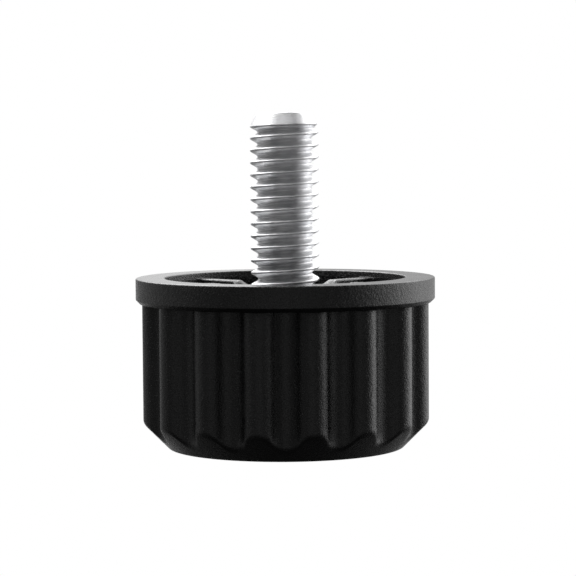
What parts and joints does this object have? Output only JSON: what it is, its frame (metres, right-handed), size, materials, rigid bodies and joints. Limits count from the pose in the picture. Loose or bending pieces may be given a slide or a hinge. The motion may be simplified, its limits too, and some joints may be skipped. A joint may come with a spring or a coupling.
{
  "type": "furniture leveling foot",
  "caption": "Fluted round black plastic foot with a flanged rim, moulded around the head of an upright steel screw that sets the height of a piece of furniture.",
  "frame": {"origin": "centre of the flat underside that rests on the floor", "axes": "+Z along the screw, away from the floor; a flute of the barrel faces -Y"},
  "size_m": [0.0346, 0.0346, 0.0387],
  "materials": {
    "black_plastic": "fine spark-eroded grain on the barrel and flange, smoother and glossier on the rim's top face",
    "zinc_steel": "bright zinc plating over a rolled thread"
  },
  "bodies": {
    "root": {"foot_body": "black_plastic", "threaded_stud": "zinc_steel"}
  },
  "joints": []
}
